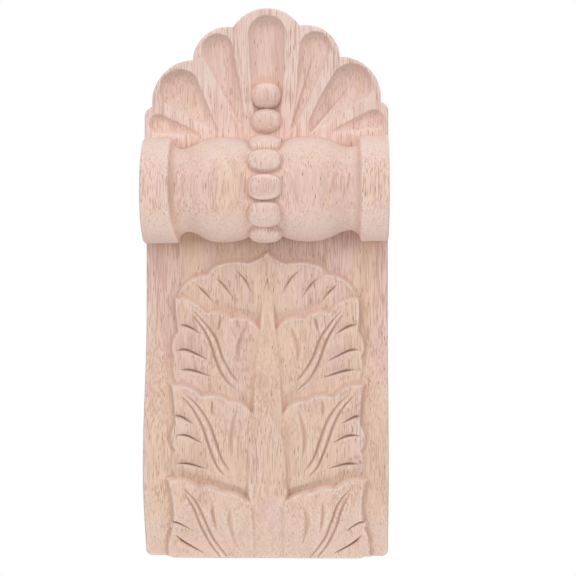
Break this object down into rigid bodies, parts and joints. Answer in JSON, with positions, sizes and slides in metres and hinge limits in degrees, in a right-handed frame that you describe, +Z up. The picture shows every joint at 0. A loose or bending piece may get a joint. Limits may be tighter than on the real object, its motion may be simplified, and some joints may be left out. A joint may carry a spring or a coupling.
{
  "type": "wooden corbel",
  "caption": "Carved wooden wall corbel: a lobed, fluted shell crest over a beaded scroll and an S-curved panel of acanthus leaves, with a flat back.",
  "frame": {"origin": "middle of the flat back, where the corbel meets the wall", "axes": "+Z up along the height, +X along the scroll to the right of someone facing the front, +Y into the wall; the carved front faces -Y"},
  "size_m": [0.11, 0.0497, 0.249],
  "materials": {
    "rubberwood": "sanded bare wood, no varnish"
  },
  "bodies": {
    "root": {"carved_corbel": "rubberwood"}
  },
  "joints": []
}
